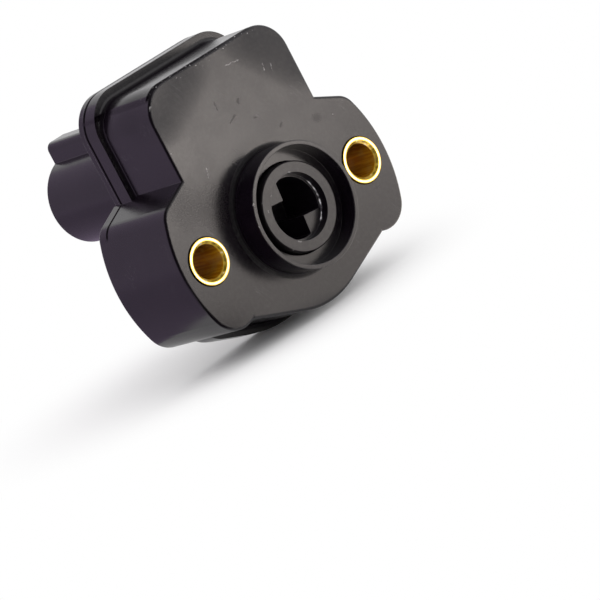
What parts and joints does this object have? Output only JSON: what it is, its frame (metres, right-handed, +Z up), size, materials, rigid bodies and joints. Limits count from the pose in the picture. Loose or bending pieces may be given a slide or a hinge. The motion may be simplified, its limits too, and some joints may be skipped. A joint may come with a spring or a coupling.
{
  "type": "throttle position sensor",
  "caption": "Moulded rotary sensor with a bolt-on flange, brass bushings, a spring-returned drive socket in a round collar and a rear plug connector.",
  "frame": {"origin": "midway between the fixing holes, on the rotor's axis, in the plane of the mating face", "axes": "-Y out of the mating face, +Y back through the housing to the connector, +X along the row of holes, +Z up through the tall lobe"},
  "size_m": [0.05, 0.0559, 0.0497],
  "materials": {
    "housing_plastic": "satin moulded black",
    "cover_plastic": "satin moulded black",
    "rotor_plastic": "satin moulded black",
    "bushing_brass": "turned",
    "seal_rubber": "matt black",
    "washer_steel": "stamped",
    "spring_steel": "drawn wire",
    "board": "fired substrate",
    "carbon_ink": "printed carbon",
    "contact_alloy": "rolled strip",
    "tinned_blade": "tin plated"
  },
  "bodies": {
    "sensor_body": {"bushing_left": "bushing_brass", "bushing_right": "bushing_brass", "collector_track": "carbon_ink", "contact_spring_ground": "contact_alloy", "contact_spring_signal": "contact_alloy", "contact_spring_supply": "contact_alloy", "cover_seal": "seal_rubber", "element_board": "board", "housing": "housing_plastic", "rear_cover": "cover_plastic", "resistive_track": "carbon_ink", "return_spring": "spring_steel", "terminal_ground": "tinned_blade", "terminal_signal": "tinned_blade", "terminal_supply": "tinned_blade", "thrust_washer": "washer_steel"},
    "turning_rotor": {"rotor": "rotor_plastic", "rotor_seal": "seal_rubber", "contactor": "contact_alloy"}
  },
  "joints": [
    {"name": "rotor_turn", "type": "hinge", "parent": "sensor_body", "child": "turning_rotor", "pos_m": [0, 0, 0], "axis": [0, 1, 0], "range_deg": [0, 90], "stiffness_Nm_per_rad": 0.008, "springref_deg": -34.38, "deforming": ["return_spring"]}
  ]
}
